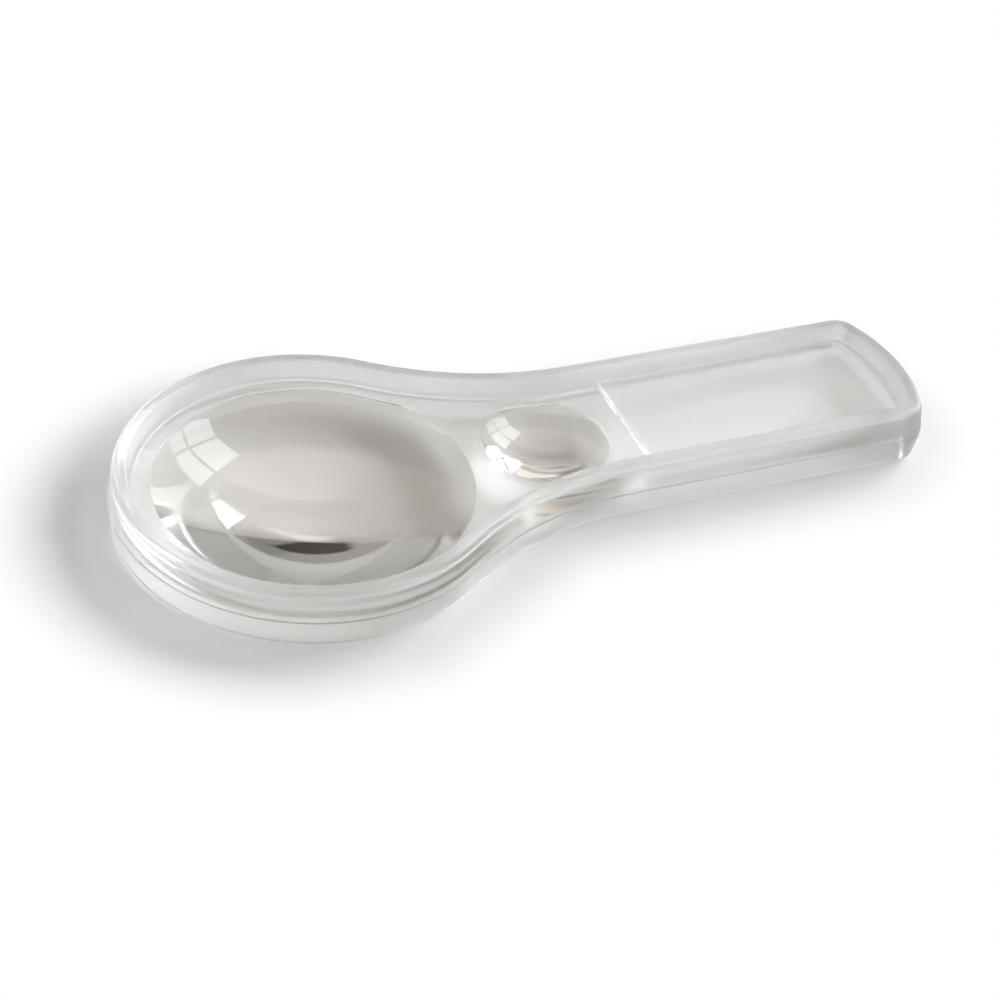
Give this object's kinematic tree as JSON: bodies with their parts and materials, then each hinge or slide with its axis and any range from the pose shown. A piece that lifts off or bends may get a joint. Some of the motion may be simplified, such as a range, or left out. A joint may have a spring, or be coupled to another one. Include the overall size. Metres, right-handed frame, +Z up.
{
  "type": "low vision magnifier",
  "caption": "Clear acrylic hand magnifier: round main lens in a raised rim, small strong lens in the neck, flat handle with an inset plate. Held over print or laid on it.",
  "frame": {"origin": "middle of the outline's box, on the surface that the rim rests on", "axes": "+X from the head to the end of the handle, +Z up through the lenses, symmetric about Y = 0"},
  "size_m": [0.1358, 0.0616, 0.01],
  "materials": {
    "acrylic_frame": "clear moulded acrylic, polished",
    "acrylic_lens": "clear optical acrylic, polished",
    "acrylic_plate": "clear acrylic sheet, polished"
  },
  "bodies": {
    "root": {"lower_frame": "acrylic_frame", "upper_frame": "acrylic_frame", "main_lens": "acrylic_lens", "spot_lens": "acrylic_lens", "handle_plate": "acrylic_plate"}
  },
  "joints": []
}
